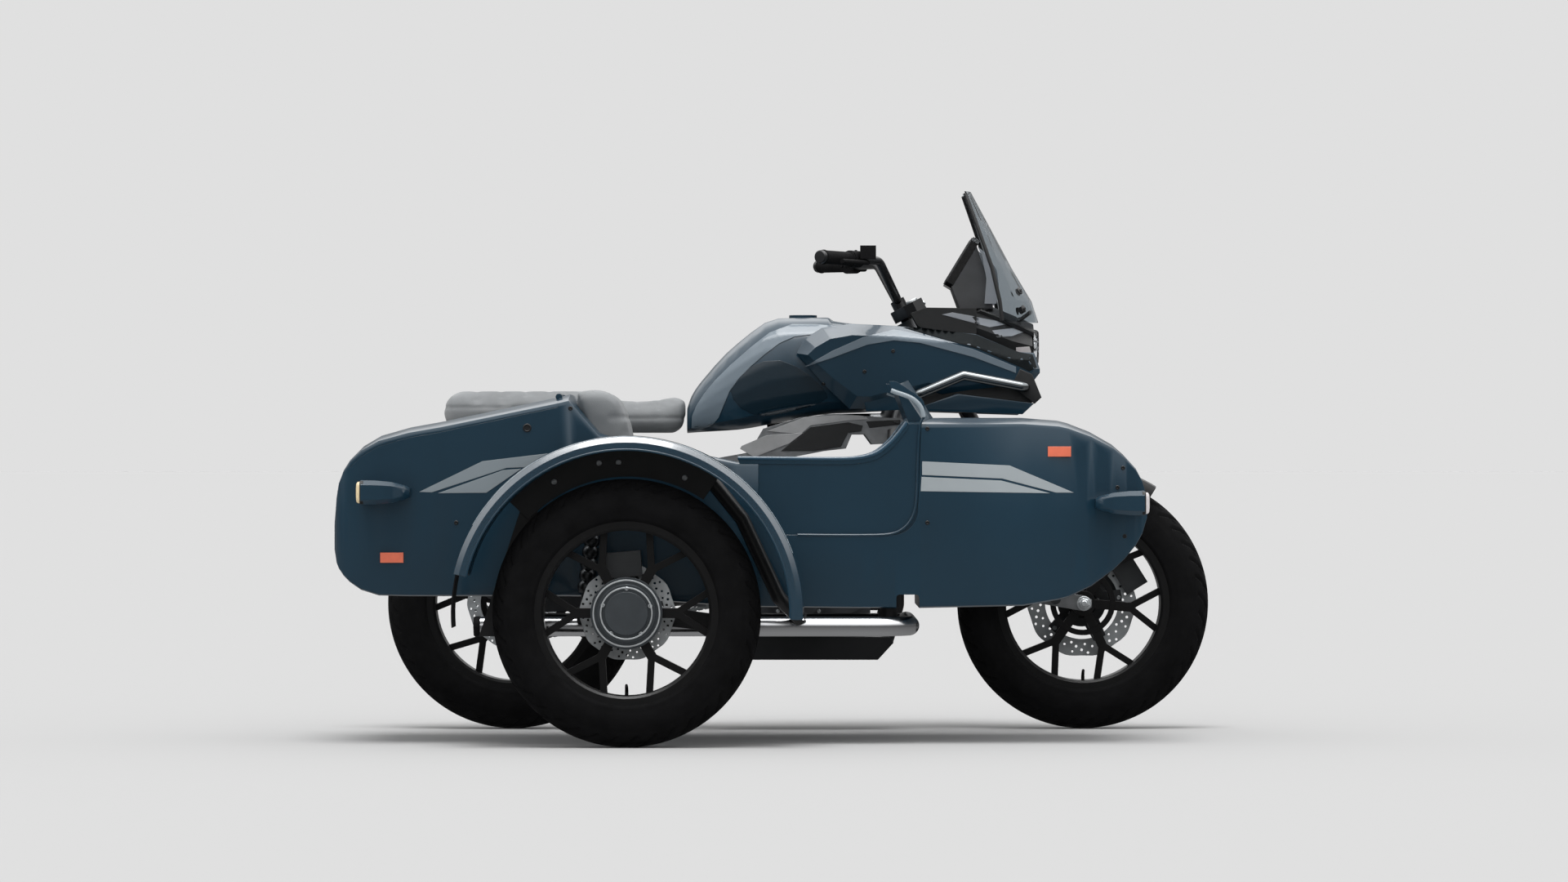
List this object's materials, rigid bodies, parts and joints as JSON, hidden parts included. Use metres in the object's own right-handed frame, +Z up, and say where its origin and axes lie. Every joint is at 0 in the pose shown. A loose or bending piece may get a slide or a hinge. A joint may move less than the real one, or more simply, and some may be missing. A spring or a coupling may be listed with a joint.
{
  "type": "sidecar motorcycle",
  "caption": "Motorcycle with a one-seat sidecar on its right: leading-link fork, cast wheels, painted hull with trunk lid, fender and tubular sidecar frame.",
  "frame": {"origin": "on the floor, under the middle of the whole outfit", "axes": "+X forwards, +Y to the left of a rider, +Z up"},
  "size_m": [2.204, 1.6304, 1.388],
  "materials": {
    "body_paint": "gloss",
    "dark_plastic": "matte",
    "rubber_parts": "matte",
    "tyre_rubber": "matte",
    "wheel_black": "satin",
    "cap_grey": "satin",
    "rotor_steel": "brushed",
    "frame_black": "satin",
    "arm_grey": "satin",
    "shock_metal": "satin",
    "caliper_grey": "satin",
    "engine_metal": "satin",
    "radiator_metal": "matte",
    "exhaust_black": "matte",
    "rail_chrome": "polished",
    "screen_glass": "gloss",
    "lens_clear": "gloss",
    "seat_vinyl": "satin"
  },
  "bodies": {
    "chassis": {"calipers": "caliper_grey", "crash_bars": "rail_chrome", "drive_chain": "rotor_steel", "engine": "engine_metal", "entry_coaming": "body_paint", "exhaust": "exhaust_black", "fender_brackets": "frame_black", "fender_flap": "rubber_parts", "frame": "arm_grey", "front_cowl": "dark_plastic", "fuel_tank": "body_paint", "lamp_lenses": "lens_clear", "lamp_pods": "body_paint", "radiator": "radiator_metal", "rear_mudguard": "dark_plastic", "seat": "seat_vinyl", "shocks": "shock_metal", "side_shrouds": "body_paint", "sidecar_fender": "body_paint", "sidecar_frame": "frame_black", "sidecar_rail": "rail_chrome", "sidecar_seat": "seat_vinyl", "sidecar_swingarm": "frame_black", "sidecar_tub": "body_paint", "swingarm": "frame_black", "windshield": "screen_glass"},
    "fork": {"triple_clamps": "frame_black", "fork_legs": "frame_black", "leading_arms": "arm_grey", "front_shocks": "shock_metal", "handlebar": "frame_black", "handlebar_grips": "rubber_parts", "front_mudguard": "dark_plastic", "front_caliper": "caliper_grey"},
    "front_wheel": {"front_rim": "wheel_black", "front_tyre": "tyre_rubber", "front_disc": "rotor_steel"},
    "rear_wheel": {"rear_rim": "wheel_black", "rear_tyre": "tyre_rubber", "rear_rotors": "rotor_steel"},
    "sidecar_wheel": {"sidecar_rim": "wheel_black", "sidecar_tyre": "tyre_rubber", "sidecar_disc": "rotor_steel", "hub_cap": "cap_grey"},
    "trunk_lid": {"trunk_lid_panel": "body_paint"}
  },
  "joints": [
    {"name": "steering", "type": "hinge", "parent": "chassis", "child": "fork", "pos_m": [0.313, 0.4, 1.075], "axis": [-0.454, 0, 0.891], "range_deg": [-35, 35]},
    {"name": "front_wheel_spin", "type": "hinge", "parent": "fork", "child": "front_wheel", "pos_m": [0.777, 0.4, 0.325], "axis": [0, 1, 0], "continuous": true},
    {"name": "rear_wheel_spin", "type": "hinge", "parent": "chassis", "child": "rear_wheel", "pos_m": [-0.698, 0.4, 0.325], "axis": [0, 1, 0], "continuous": true},
    {"name": "sidecar_wheel_spin", "type": "hinge", "parent": "chassis", "child": "sidecar_wheel", "pos_m": [-0.3775, -0.72, 0.325], "axis": [0, 1, 0], "continuous": true},
    {"name": "trunk_lid_hinge", "type": "hinge", "parent": "chassis", "child": "trunk_lid", "pos_m": [-0.55055, -0.265, 0.85071], "axis": [0, 1, 0], "range_deg": [0, 75]}
  ]
}
